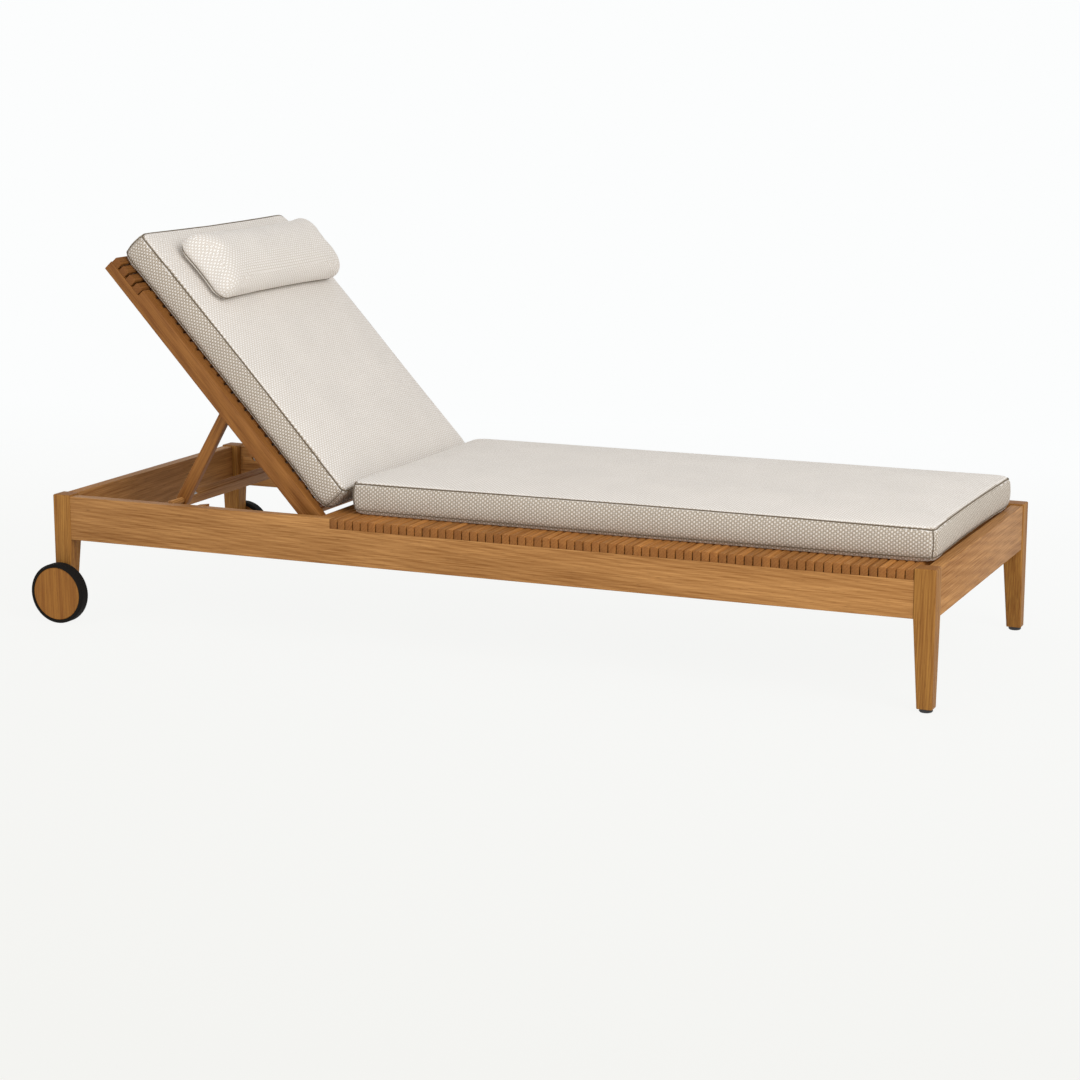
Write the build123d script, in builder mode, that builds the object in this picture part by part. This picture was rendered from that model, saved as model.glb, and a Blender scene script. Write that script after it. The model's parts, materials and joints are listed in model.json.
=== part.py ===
from build123d import *
import os
from math import cos, radians, sin, sqrt

os.makedirs("parts", exist_ok=True)

# The frame. X runs along the lounger with the head at -X, Y is its width and Z is up.
frame_length = 2060
frame_width = 800
rail_top = 290
rail_height = 100
rail_thickness = 28
rail_setback = 2
edge_round = 2

# The legs stand a little proud of the rails and taper on their two inner sides.
leg_size = 45
leg_toe = 33
leg_proud = 3
leg_round = 4
head_leg_drop = 28
tenon_length = 21
tenon_thickness = 12
tenon_height = 64
glide_radius = 14
glide_height = 8
glide_pin_radius = 4
glide_pin_length = 22

# The slatted seat, whose slat ends lie flush in a rebate of the long rails.
slat_height = 21
slat_width = 16
slat_pitch = 18.6
slat_chamfer = 2.5
slat_setoff = 25
inset_slats = 2
bearer_thickness = 28
bearer_height = 40
head_bearer_height = 60
stretcher_width = 45
stretcher_height = 28

# The backrest, which turns on two pins near the middle of the rails.
rest_tilt = 47.5
low_tilt = 4.0
back_length = 750
back_side_gap = 20
back_rail_thickness = 26
back_rail_depth = 42
back_slat_height = 18
back_slat_width = 20
back_slat_pitch = 25
top_slat_count = 4
back_bar_width = 30
back_bar_depth = 24
low_bar_from_hinge = 40
high_bar_from_top = 85
hinge_pin_radius = 6
hinge_pin_bite = 14
hinge_spacer_radius = 11

# The prop, two arms and a cross bar whose round ends lie over two notched racks.
bar_over_hinge = 18.2
prop_head_gap = 12
prop_below_rail = 14
prop_length = 249
prop_rest_slope = 60
prop_low_angle = 4.4
arm_thickness = 18
arm_head_radius = 12
arm_foot_radius = 14
arm_washer = 3.7
arm_side_gap = 0.3
prop_pin_radius = 5
prop_pin_bite = 18
prop_pin_head_radius = 9
prop_pin_head = 4
bar_width = 30
bar_thickness = 18
peg_radius = 7
peg_end_gap = 2
bracket_length = 26
bracket_width = 16
bracket_thickness = 2
rack_thickness = 18
rack_depth = 42
rack_over_bar = 0.7
rack_tilts = (18, 24.5, 31, 39, 47.5, 53.5)
notch_half_width = 10
notch_depth = 8
rack_end_margin = 34
rack_screw_radius = 5
rack_screw_head = 3
rack_screw_length = 40
rack_screw_shank = 2.5
rack_screws_each = 3

# The wheels, one outside each head leg.
wheel_radius = 69
tyre_depth = 8
tyre_width = 28
tyre_round = 5
disc_width = 26
disc_chamfer = 1.5
wheel_gap = 5
axle_radius = 6
axle_bite = 36
axle_head_radius = 10
axle_head = 5
hub_bore_radius = 9
cap_radius = 11
cap_thickness = 3
counterbore_depth = 9
axle_washer_radius = 15

# The cushions and the headrest.
cushion_side_gap = 22.5
cushion_thickness = 70
cushion_crown = 12
crown_reach_share = 0.32
crown_level_shares = (
    (0.30, 0.06),
    (0.62, 0.26),
    (0.88, 0.60),
    (1.00, 1.00),
)
corner_growth = 0.25
cushion_corner = 22
side_pull = 5
edge_inset = 7
seam_height = 9
seam_width = 2.5
seam_depth = 2
band_bulge = 2
seat_cushion_setoff = 76
seat_cushion_foot_gap = 22
back_cushion_setoff = 8
back_cushion_overrun = 6
pillow_side_gap = 55
pillow_height = 172
pillow_thickness = 80
pillow_corner = 30
pillow_corner_loss = 0.3
pillow_from_top = 58
pillow_pull = 4
pillow_level_shares = (
    (0.00, 0.38),
    (0.09, 0.16),
    (0.26, 0.02),
    (0.46, 0.00),
    (0.66, 0.10),
    (0.82, 0.30),
    (0.94, 0.62),
    (1.00, 1.00),
)
pillow_edge_inset = 62

# Fits and clearances.
running_gap = 0.05
seat_gap = 0.3

# The prop's pivot is set so that its bar rests at its height over the hinge, and the hinge so that
# the prop, laid flat, clears the head leg.
prop_rise = prop_length * sin(radians(prop_rest_slope)) + prop_below_rail * cos(radians(rest_tilt))
prop_from_hinge = (prop_rise + bar_over_hinge) / sin(radians(rest_tilt))
hinge_from_head = leg_size + prop_head_gap + arm_foot_radius + prop_length + prop_from_hinge

# Places worked out from the sizes above.
rail_bottom = rail_top - rail_height
wheel_reach = wheel_radius - leg_size / 2
x_head = -(frame_length - wheel_reach) / 2
x_foot = x_head + frame_length
hinge_x = x_head + hinge_from_head
rail_mid = frame_width / 2 - rail_setback - rail_thickness / 2
rail_inner = rail_mid - rail_thickness / 2
rail_outer = rail_mid + rail_thickness / 2
apron_inset = rail_setback + rail_thickness / 2
leg_inner = frame_width / 2 - leg_size
hinge_z = rail_top - back_rail_depth / 2
rail_half_depth = back_rail_depth / 2
back_width = 2 * (rail_inner - back_side_gap)
back_outer = back_width / 2
cushion_width = back_width - 2 * cushion_side_gap
crown_reach = crown_reach_share * cushion_width
pillow_length = cushion_width - 2 * pillow_side_gap
back_rail_mid = back_width / 2 - back_rail_thickness / 2
back_rail_inner = back_width / 2 - back_rail_thickness
slat_underside = rail_half_depth - back_slat_height
slats_from = hinge_x + slat_setoff
rebate_from = slats_from + inset_slats * slat_pitch
slats_to = x_foot - leg_size
arm_outer = back_rail_inner - arm_washer - arm_side_gap
arm_mid = arm_outer - arm_thickness / 2
arm_inner = arm_outer - arm_thickness
sides = (("near", -1), ("far", 1))
ends = (("head", x_head, 1), ("foot", x_foot, -1))


def slope_plane(tilt, x, y, z):
    """The upright plane at y, turned so that its x runs up a board that leans back by tilt."""
    lean = radians(tilt)
    return Plane(origin=(x, y, z), x_dir=(-cos(lean), 0, sin(lean)), z_dir=(0, 1, 0))


def back_side(y):
    """The plane of the backrest's side view: x up the back from the hinge, y out of its front."""
    return slope_plane(rest_tilt, hinge_x, y, hinge_z)


def back_front(distance, height):
    """The plane of the backrest's slats, at a distance up from the hinge and a height over the pins."""
    lean = radians(rest_tilt)
    place = back_side(0).from_local_coords((distance, height, 0))
    return Plane(origin=place, x_dir=(-cos(lean), 0, sin(lean)), z_dir=(sin(lean), 0, cos(lean)))


# The prop's turn for each degree of the backrest's, and the path of its bar.
prop_rest_angle = rest_tilt + prop_rest_slope
prop_ratio = (prop_rest_angle - prop_low_angle) / (rest_tilt - low_tilt)


def prop_pivot(tilt):
    """The prop's pivot, as a distance from the hinge towards the head and a height over it."""
    lean = radians(tilt)
    toward_head = prop_from_hinge * cos(lean) + prop_below_rail * sin(lean)
    height = prop_from_hinge * sin(lean) - prop_below_rail * cos(lean)
    return toward_head, height


def bar_place(tilt):
    """The centre of the prop's bar, measured as the pivot is."""
    slope = radians(prop_rest_angle + prop_ratio * (tilt - rest_tilt) - tilt)
    toward_head, height = prop_pivot(tilt)
    return toward_head + prop_length * cos(slope), height - prop_length * sin(slope)


pivot_x = hinge_x - prop_pivot(rest_tilt)[0]
pivot_z = hinge_z + prop_pivot(rest_tilt)[1]


# The racks' top edge, just under the path of the bar's round ends.
rack_points = [bar_place(tilt) for tilt in rack_tilts]


def rack_top(tilt, offset):
    """A point of the rack's top edge, at an offset along it from the bar's place at a tilt."""
    before = bar_place(tilt - 1)
    after = bar_place(tilt + 1)
    slope = (after[1] - before[1]) / (before[0] - after[0])
    toward_head, height = bar_place(tilt)
    return hinge_x - toward_head + offset, hinge_z + height - peg_radius - rack_over_bar + slope * offset


# The rack screws, along a level line in each rack.
screw_run = rack_points[0][0] - rack_points[-1][0]
screw_mid_x = hinge_x - (rack_points[0][0] + rack_points[-1][0]) / 2
screw_z = rack_top(rack_tilts[-1], rack_end_margin)[1] - 2 * rack_depth / 3
screw_pitch = screw_run / (rack_screws_each - 1)


def screw_face(side, distance):
    """The plane of the rack screws at a distance from the middle, facing the middle."""
    return Plane(origin=(screw_mid_x, side * distance, screw_z), x_dir=(1, 0, 0), z_dir=(0, -side, 0))


def leg_width(height):
    """The leg's width where it tapers below the rails."""
    share = (rail_bottom - height) / (rail_bottom - glide_height)
    return leg_size - (leg_size - leg_toe) * share


def leg_section(height, width, x_corner, y_corner, x_inward, y_inward):
    """One square section of a leg, kept flush with its two outer faces."""
    centre = (x_corner + x_inward * width / 2, y_corner + y_inward * width / 2)
    with BuildSketch(Plane.XY.offset(height)) as section:
        with Locations(centre):
            RectangleRounded(width, width, leg_round)
    return section.sketch


def leg_body(leg, bottom, x_corner, x_inward, side):
    """A leg with its taper and the mortises of the two rails that meet in it."""
    y_corner = side * frame_width / 2
    toe = leg_section(bottom, leg_width(bottom), x_corner, y_corner, x_inward, -side)
    waist = leg_section(rail_bottom, leg_size, x_corner, y_corner, x_inward, -side)
    loft([toe, waist], ruled=True)
    extrude(waist, amount=rail_height + leg_proud)
    chamfer(leg.faces().sort_by(Axis.Z)[-1].edges(), edge_round)
    x_mortise = x_corner + x_inward * (leg_size - tenon_length / 2)
    y_mortise = y_corner - side * (leg_size - tenon_length / 2)
    z_mortise = (rail_top + rail_bottom) / 2
    with Locations((x_mortise, side * rail_mid, z_mortise)):
        Box(tenon_length, tenon_thickness, tenon_height, mode=Mode.SUBTRACT)
    with Locations((x_corner + x_inward * apron_inset, y_mortise, z_mortise)):
        Box(tenon_thickness, tenon_length, tenon_height, mode=Mode.SUBTRACT)


# Long rails: stepped down along the seat to take the slat ends, with a tenon into each leg.
for tag, side in sides:
    with BuildPart() as rail:
        with BuildSketch(Plane.XZ.offset(-side * rail_mid)):
            with BuildLine():
                Polyline(
                    (x_head + leg_size, rail_bottom),
                    (x_foot - leg_size, rail_bottom),
                    (x_foot - leg_size, rail_top - slat_height),
                    (rebate_from, rail_top - slat_height),
                    (rebate_from, rail_top),
                    (x_head + leg_size, rail_top),
                    close=True,
                )
            make_face()
        extrude(amount=rail_thickness / 2, both=True)
        fillet(rail.edges().filter_by(Axis.X).group_by(Axis.Z)[0], edge_round)
        fillet(rail.edges().filter_by(Axis.X).group_by(Axis.Z)[-1], edge_round)
        with Locations(
            (x_head + leg_size - tenon_length / 2, side * rail_mid, (rail_top + rail_bottom) / 2),
            (x_foot - leg_size + tenon_length / 2, side * rail_mid, (rail_top + rail_bottom) / 2),
        ):
            Box(tenon_length, tenon_thickness, tenon_height)
        with Locations(Plane(origin=(hinge_x, side * rail_inner, hinge_z), z_dir=(0, -side, 0))):
            Hole(hinge_pin_radius, depth=hinge_pin_bite)
        with Locations(screw_face(side, rail_inner)):
            with GridLocations(screw_pitch, rack_depth, rack_screws_each, 1):
                Hole(rack_screw_shank, depth=rack_screw_length - rack_thickness)
    rail.part.label = f"rail_{tag}"
    export_step(rail.part, f"parts/rail_{tag}.step")

# End rails between the legs.
for tag, x_end, inward in ends:
    with BuildPart() as apron:
        with Locations((x_end + inward * apron_inset, 0, (rail_top + rail_bottom) / 2)):
            Box(rail_thickness, 2 * leg_inner, rail_height)
        fillet(apron.edges().filter_by(Axis.Y), edge_round)
        with Locations((x_end + inward * apron_inset, 0, (rail_top + rail_bottom) / 2)):
            Box(tenon_thickness, 2 * (leg_inner + tenon_length), tenon_height)
    apron.part.label = f"apron_{tag}"
    export_step(apron.part, f"parts/apron_{tag}.step")

# Head legs, cut short above the ground and bored for the wheel bolts.
axle_x = x_head + leg_size / 2
for tag, side in sides:
    with BuildPart() as head_leg:
        leg_body(head_leg, wheel_radius - head_leg_drop, x_head, 1, side)
        bolt_face = Plane(origin=(axle_x, side * frame_width / 2, wheel_radius), z_dir=(0, side, 0))
        with Locations(bolt_face):
            Hole(axle_radius, depth=axle_bite)
    head_leg.part.label = f"leg_head_{tag}"
    export_step(head_leg.part, f"parts/leg_head_{tag}.step")

# Foot legs and the glides under them.
glide_x = x_foot - leg_toe / 2
glide_y = frame_width / 2 - leg_toe / 2
for tag, side in sides:
    with BuildPart() as foot_leg:
        leg_body(foot_leg, glide_height, x_foot, -1, side)
        with Locations(Plane(origin=(glide_x, side * glide_y, glide_height), z_dir=(0, 0, -1))):
            Hole(glide_pin_radius, depth=glide_pin_length)
    foot_leg.part.label = f"leg_foot_{tag}"
    export_step(foot_leg.part, f"parts/leg_foot_{tag}.step")

    with BuildPart() as glide:
        with BuildSketch():
            with Locations((glide_x, side * glide_y)):
                Circle(glide_radius)
        extrude(amount=glide_height)
        chamfer(glide.edges().sort_by(Axis.Z)[0], edge_round)
        with BuildSketch(Plane.XY.offset(glide_height)):
            with Locations((glide_x, side * glide_y)):
                Circle(glide_pin_radius)
        extrude(amount=glide_pin_length)
    glide.part.label = f"glide_{tag}"
    export_step(glide.part, f"parts/glide_{tag}.step")

# Seat slats: the first few lie between the rails, the others run through the rebates.
slat_top_z = rail_top - slat_height / 2
slat_run = slats_to - rebate_from
slat_count = round(slat_run / slat_pitch)
even_pitch = slat_run / slat_count
with BuildPart() as seat_slats:
    with BuildSketch(Plane.XZ) as slat_ends:
        with Locations(((rebate_from + slats_to) / 2, slat_top_z)):
            with GridLocations(even_pitch, slat_height, slat_count, 1):
                Rectangle(slat_width, slat_height)
        chamfer(slat_ends.vertices().group_by(Axis.Y)[-1], slat_chamfer)
    extrude(amount=rail_outer, both=True)
    with BuildSketch(Plane.XZ) as inset_ends:
        with Locations(((slats_from + rebate_from) / 2, slat_top_z)):
            with GridLocations(slat_pitch, slat_height, inset_slats, 1):
                Rectangle(slat_width, slat_height)
        chamfer(inset_ends.vertices().group_by(Axis.Y)[-1], slat_chamfer)
    extrude(amount=rail_inner, both=True)
seat_slats.part.label = "seat_slats"
export_step(seat_slats.part, "parts/seat_slats.step")

# Bearers under the slats.
slat_underside_z = rail_top - slat_height
with BuildPart() as seat_bearer_head:
    with Locations(((slats_from + rebate_from) / 2, 0, slat_underside_z - head_bearer_height / 2)):
        Box(inset_slats * slat_pitch, 2 * rail_inner, head_bearer_height)
    fillet(seat_bearer_head.edges().filter_by(Axis.Y).group_by(Axis.Z)[0], edge_round)
seat_bearer_head.part.label = "seat_bearer_head"
export_step(seat_bearer_head.part, "parts/seat_bearer_head.step")

bearer_to = x_foot - rail_setback - rail_thickness
with BuildPart() as seat_bearer_centre:
    with Locations(((rebate_from + bearer_to) / 2, 0, slat_underside_z - bearer_height / 2)):
        Box(bearer_to - rebate_from, bearer_thickness, bearer_height)
    fillet(seat_bearer_centre.edges().filter_by(Axis.X).group_by(Axis.Z)[0], edge_round)
seat_bearer_centre.part.label = "seat_bearer_centre"
export_step(seat_bearer_centre.part, "parts/seat_bearer_centre.step")

stretcher_top = slat_underside_z - bearer_height
with BuildPart() as stretcher:
    with Locations(((rebate_from + bearer_to) / 2, 0, stretcher_top - stretcher_height / 2)):
        Box(stretcher_width, 2 * rail_inner, stretcher_height)
    fillet(stretcher.edges().filter_by(Axis.Y), edge_round)
stretcher.part.label = "seat_stretcher"
export_step(stretcher.part, "parts/seat_stretcher.step")

# Notched racks on the rails' inner faces, with a top edge that follows the bar's path.
for tag, side in sides:
    with BuildPart() as rack:
        with BuildSketch(Plane.XZ.offset(-side * (rail_inner - rack_thickness / 2))):
            with BuildLine():
                head_top = rack_top(rack_tilts[0], -rack_end_margin)
                foot_top = rack_top(rack_tilts[-1], rack_end_margin)
                start = head_top
                for tilt in rack_tilts:
                    shoulder = rack_top(tilt, -notch_half_width)
                    bottom = rack_top(tilt, 0)
                    far_shoulder = rack_top(tilt, notch_half_width)
                    Line(start, shoulder)
                    ThreePointArc(shoulder, (bottom[0], bottom[1] - notch_depth), far_shoulder)
                    start = far_shoulder
                Polyline(
                    start,
                    foot_top,
                    (foot_top[0], foot_top[1] - rack_depth),
                    (head_top[0], foot_top[1] - rack_depth),
                    head_top,
                )
            make_face()
        extrude(amount=rack_thickness / 2, both=True)
        with Locations(screw_face(side, rail_inner - rack_thickness)):
            with GridLocations(screw_pitch, rack_depth, rack_screws_each, 1):
                CounterBoreHole(rack_screw_shank, rack_screw_radius, rack_screw_head, depth=rack_thickness)
    rack.part.label = f"rack_{tag}"
    export_step(rack.part, f"parts/rack_{tag}.step")

# Screws that hold the racks to the rails.
with BuildPart() as rack_screws:
    for tag, side in sides:
        with BuildSketch(screw_face(side, rail_inner - rack_thickness)):
            with GridLocations(screw_pitch, rack_depth, rack_screws_each, 1):
                Circle(rack_screw_radius)
        extrude(amount=-rack_screw_head)
        with BuildSketch(screw_face(side, rail_inner - rack_thickness)):
            with GridLocations(screw_pitch, rack_depth, rack_screws_each, 1):
                Circle(rack_screw_shank)
        extrude(amount=-rack_screw_length)
rack_screws.part.label = "rack_screws"
export_step(rack_screws.part, "parts/rack_screws.step")

# Hinge pins, set in the rails, with a spacer beside each backrest rail.
pin_tip = back_rail_inner + seat_gap
pin_root = rail_inner + hinge_pin_bite
spacer_inner = back_outer + seat_gap
for tag, side in sides:
    with BuildPart() as hinge_pin:
        pin_plane = Plane(origin=(hinge_x, side * pin_tip, hinge_z), z_dir=(0, side, 0))
        with BuildSketch(pin_plane):
            Circle(hinge_pin_radius)
        extrude(amount=pin_root - pin_tip)
    hinge_pin.part.label = f"hinge_pin_{tag}"
    export_step(hinge_pin.part, f"parts/hinge_pin_{tag}.step")

    with BuildPart() as hinge_spacer:
        spacer_plane = Plane(origin=(hinge_x, side * spacer_inner, hinge_z), z_dir=(0, side, 0))
        with BuildSketch(spacer_plane):
            Circle(hinge_spacer_radius)
            Circle(hinge_pin_radius, mode=Mode.SUBTRACT)
        extrude(amount=rail_inner - spacer_inner)
    hinge_spacer.part.label = f"hinge_spacer_{tag}"
    export_step(hinge_spacer.part, f"parts/hinge_spacer_{tag}.step")

# Backrest rails: round about the pins, and stepped at the top for the slats that run over them.
top_slats_from = back_length - top_slat_count * back_slat_pitch
for tag, side in sides:
    with BuildPart() as back_rail:
        with BuildSketch(back_side(side * back_rail_mid)):
            with BuildLine():
                Line((0, -rail_half_depth), (back_length, -rail_half_depth))
                Polyline(
                    (back_length, -rail_half_depth),
                    (back_length, slat_underside),
                    (top_slats_from, slat_underside),
                    (top_slats_from, rail_half_depth),
                    (0, rail_half_depth),
                )
                ThreePointArc((0, rail_half_depth), (-rail_half_depth, 0), (0, -rail_half_depth))
            make_face()
            Circle(hinge_pin_radius + running_gap, mode=Mode.SUBTRACT)
        extrude(amount=back_rail_thickness / 2, both=True)
        pivot_plane = Plane(origin=(pivot_x, side * back_rail_inner, pivot_z), z_dir=(0, -side, 0))
        with Locations(pivot_plane):
            Hole(prop_pin_radius, depth=prop_pin_bite)
    back_rail.part.label = f"back_rail_{tag}"
    export_step(back_rail.part, f"parts/back_rail_{tag}.step")

# Backrest slats between the rails, and the top ones whose ends show over them.
high_bar_from_hinge = back_length - high_bar_from_top
back_slats_from = low_bar_from_hinge - back_bar_width / 2
back_slat_count = int((top_slats_from - back_slats_from) / back_slat_pitch)
back_slat_mid = (slat_underside + rail_half_depth) / 2
with BuildPart() as back_slats:
    with BuildSketch(back_side(0)) as back_ends:
        with Locations((top_slats_from - back_slat_count * back_slat_pitch / 2, back_slat_mid)):
            with GridLocations(back_slat_pitch, back_slat_height, back_slat_count, 1):
                Rectangle(back_slat_width, back_slat_height)
        chamfer(back_ends.vertices().group_by(Axis.Y)[-1], slat_chamfer)
    extrude(amount=back_rail_inner, both=True)
back_slats.part.label = "back_slats"
export_step(back_slats.part, "parts/back_slats.step")

with BuildPart() as back_top_slats:
    with BuildSketch(back_side(0)) as top_ends:
        with Locations(((top_slats_from + back_length) / 2, back_slat_mid)):
            with GridLocations(back_slat_pitch, back_slat_height, top_slat_count, 1):
                Rectangle(back_slat_width, back_slat_height)
        chamfer(top_ends.vertices().group_by(Axis.Y)[-1], slat_chamfer)
    extrude(amount=back_outer, both=True)
back_top_slats.part.label = "back_top_slats"
export_step(back_top_slats.part, "parts/back_top_slats.step")

# Cross bars of the backrest and the bearer along its middle.
for tag, distance in (("low", low_bar_from_hinge), ("high", high_bar_from_hinge)):
    with BuildPart() as back_bar:
        with BuildSketch(back_side(0)) as bar_face:
            with Locations((distance, slat_underside - back_bar_depth / 2)):
                Rectangle(back_bar_width, back_bar_depth)
            fillet(bar_face.vertices().group_by(Axis.Y)[0], edge_round)
        extrude(amount=back_rail_inner, both=True)
    back_bar.part.label = f"back_bar_{tag}"
    export_step(back_bar.part, f"parts/back_bar_{tag}.step")

back_bearer_from = low_bar_from_hinge + back_bar_width / 2
back_bearer_to = high_bar_from_hinge - back_bar_width / 2
with BuildPart() as back_bearer:
    with BuildSketch(back_side(0)):
        with Locations(((back_bearer_from + back_bearer_to) / 2, slat_underside - back_bar_depth / 4)):
            Rectangle(back_bearer_to - back_bearer_from, back_bar_depth / 2)
    extrude(amount=bearer_thickness / 2, both=True)
back_bearer.part.label = "back_bearer"
export_step(back_bearer.part, "parts/back_bearer.step")

# Prop pins with their heads on the arms' inner faces, and a washer outside each arm.
for tag, side in sides:
    with BuildPart() as prop_pin:
        head_plane = Plane(origin=(pivot_x, side * (arm_inner - seat_gap), pivot_z), z_dir=(0, side, 0))
        with BuildSketch(head_plane):
            Circle(prop_pin_head_radius)
        extrude(amount=-prop_pin_head)
        chamfer(prop_pin.edges().group_by(Axis.Y)[0 if side > 0 else -1], edge_round / 2)
        with BuildSketch(head_plane):
            Circle(prop_pin_radius)
        extrude(amount=back_rail_inner + prop_pin_bite - arm_inner + seat_gap)
    prop_pin.part.label = f"prop_pin_{tag}"
    export_step(prop_pin.part, f"parts/prop_pin_{tag}.step")

    with BuildPart() as prop_washer:
        washer_plane = Plane(origin=(pivot_x, side * back_rail_inner, pivot_z), z_dir=(0, -side, 0))
        with BuildSketch(washer_plane):
            Circle(prop_pin_head_radius)
            Circle(prop_pin_radius, mode=Mode.SUBTRACT)
        extrude(amount=arm_washer)
    prop_washer.part.label = f"prop_washer_{tag}"
    export_step(prop_washer.part, f"parts/prop_washer_{tag}.step")


def prop_side(y):
    """The plane of the prop's side view: x from the pivot along the arm to the bar."""
    slope = radians(prop_rest_slope)
    return Plane(origin=(pivot_x, y, pivot_z), x_dir=(-cos(slope), 0, -sin(slope)), z_dir=(0, 1, 0))


# Prop arms: a taper between two round ends, drawn as the hull of two circles.
for tag, side in sides:
    with BuildPart() as prop_arm:
        with BuildSketch(prop_side(side * arm_mid)):
            Circle(arm_head_radius)
            with Locations((prop_length, 0)):
                Circle(arm_foot_radius)
            make_hull()
            Circle(prop_pin_radius + running_gap, mode=Mode.SUBTRACT)
            with Locations((prop_length, 0)):
                Circle(peg_radius, mode=Mode.SUBTRACT)
        extrude(amount=arm_thickness / 2, both=True)
    prop_arm.part.label = f"prop_arm_{tag}"
    export_step(prop_arm.part, f"parts/prop_arm_{tag}.step")

# Prop bar: flat between the arms, with a round end through each of them and over the rack.
peg_end = rail_inner - peg_end_gap
with BuildPart() as prop_bar:
    with BuildSketch(prop_side(0)):
        with Locations((prop_length, 0)):
            RectangleRounded(bar_width, bar_thickness, edge_round)
    extrude(amount=arm_inner, both=True)
    with BuildSketch(prop_side(0)):
        with Locations((prop_length, 0)):
            Circle(peg_radius)
    extrude(amount=peg_end, both=True)
prop_bar.part.label = "prop_bar"
export_step(prop_bar.part, "parts/prop_bar.step")

# Steel angles that tie the flat bar to the arms.
for tag, side in sides:
    slope = radians(prop_rest_slope)
    corner = prop_side(side * arm_inner).from_local_coords((prop_length - bar_width / 2, 0, 0))
    angle_plane = Plane(origin=corner, x_dir=(cos(slope), 0, sin(slope)), z_dir=(-sin(slope), 0, cos(slope)))
    with BuildPart() as bracket:
        with BuildSketch(angle_plane):
            with BuildLine():
                Polyline(
                    (0, 0),
                    (bracket_length, 0),
                    (bracket_length, -side * bracket_thickness),
                    (bracket_thickness, -side * bracket_thickness),
                    (bracket_thickness, -side * bracket_length),
                    (0, -side * bracket_length),
                    close=True,
                )
            make_face()
        extrude(amount=bracket_width / 2, both=True)
    bracket.part.label = f"prop_bracket_{tag}"
    export_step(bracket.part, f"parts/prop_bracket_{tag}.step")

# Wheels: a wooden disc with a rubber tyre and a nylon bush, and a wooden cap over the bolt's head.
wheel_mid = frame_width / 2 + wheel_gap + tyre_width / 2
disc_radius = wheel_radius - tyre_depth
disc_inner = wheel_mid - disc_width / 2
disc_outer = wheel_mid + disc_width / 2
step_at = disc_outer - counterbore_depth
washer_thickness = wheel_gap - seat_gap


def wheel_plane(side, distance):
    """A plane across the axle at a distance from the middle of the lounger, facing outwards."""
    return Plane(origin=(axle_x, side * distance, wheel_radius), z_dir=(0, side, 0))


for tag, side in sides:
    with BuildPart() as tyre:
        with BuildSketch(wheel_plane(side, wheel_mid)):
            Circle(wheel_radius)
            Circle(disc_radius, mode=Mode.SUBTRACT)
        extrude(amount=tyre_width / 2, both=True)
        fillet(tyre.edges().filter_by(GeomType.CIRCLE).sort_by(SortBy.RADIUS)[-2:], tyre_round)
    tyre.part.label = f"tyre_{tag}"
    export_step(tyre.part, f"parts/tyre_{tag}.step")

    with BuildPart() as wheel_disc:
        with BuildSketch(wheel_plane(side, wheel_mid)):
            Circle(disc_radius)
        extrude(amount=disc_width / 2, both=True)
        chamfer(wheel_disc.edges().filter_by(GeomType.CIRCLE), disc_chamfer)
        with BuildSketch(wheel_plane(side, disc_inner)):
            Circle(hub_bore_radius)
        extrude(amount=disc_width, mode=Mode.SUBTRACT)
        with BuildSketch(wheel_plane(side, step_at)):
            Circle(cap_radius)
        extrude(amount=counterbore_depth, mode=Mode.SUBTRACT)
    wheel_disc.part.label = f"wheel_disc_{tag}"
    export_step(wheel_disc.part, f"parts/wheel_disc_{tag}.step")

    with BuildPart() as hub_bush:
        with BuildSketch(wheel_plane(side, frame_width / 2 + wheel_gap)):
            Circle(hub_bore_radius)
            Circle(axle_radius + running_gap, mode=Mode.SUBTRACT)
        extrude(amount=step_at - frame_width / 2 - wheel_gap)
    hub_bush.part.label = f"hub_bush_{tag}"
    export_step(hub_bush.part, f"parts/hub_bush_{tag}.step")

    with BuildPart() as wheel_cap:
        with BuildSketch(wheel_plane(side, disc_outer - cap_thickness)):
            Circle(cap_radius)
        extrude(amount=cap_thickness)
    wheel_cap.part.label = f"wheel_cap_{tag}"
    export_step(wheel_cap.part, f"parts/wheel_cap_{tag}.step")

    with BuildPart() as wheel_bolt:
        with BuildSketch(wheel_plane(side, frame_width / 2 - axle_bite)):
            Circle(axle_radius)
        extrude(amount=step_at + seat_gap - frame_width / 2 + axle_bite)
        with BuildSketch(wheel_plane(side, step_at + seat_gap)):
            Circle(axle_head_radius)
        extrude(amount=axle_head)
    wheel_bolt.part.label = f"wheel_bolt_{tag}"
    export_step(wheel_bolt.part, f"parts/wheel_bolt_{tag}.step")

    with BuildPart() as wheel_washer:
        with BuildSketch(wheel_plane(side, frame_width / 2)):
            Circle(axle_washer_radius)
            Circle(axle_radius, mode=Mode.SUBTRACT)
        extrude(amount=washer_thickness)
    wheel_washer.part.label = f"wheel_washer_{tag}"
    export_step(wheel_washer.part, f"parts/wheel_washer_{tag}.step")


def soft_section(plane, length, width, inset, corner, pull):
    """One level of a cushion: four sides drawn in between rounded corners."""
    half_length = length / 2 - inset
    half_width = width / 2 - inset
    run = half_length - corner
    rise = half_width - corner
    bow = corner / sqrt(2)
    with BuildSketch(plane) as section:
        with BuildLine():
            for x_side, y_side in ((1, -1), (1, 1), (-1, 1), (-1, -1)):
                ThreePointArc(
                    (x_side * run, y_side * half_width),
                    (x_side * (run + bow), y_side * (rise + bow)),
                    (x_side * half_length, y_side * rise),
                )
            for y_side in (-1, 1):
                middle = (0, y_side * (half_width - pull))
                ThreePointArc((-run, y_side * half_width), middle, (run, y_side * half_width))
            for x_side in (-1, 1):
                middle = (x_side * (half_length - pull), 0)
                ThreePointArc((x_side * half_length, -rise), middle, (x_side * half_length, rise))
        make_face()
    return section.sketch


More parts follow.
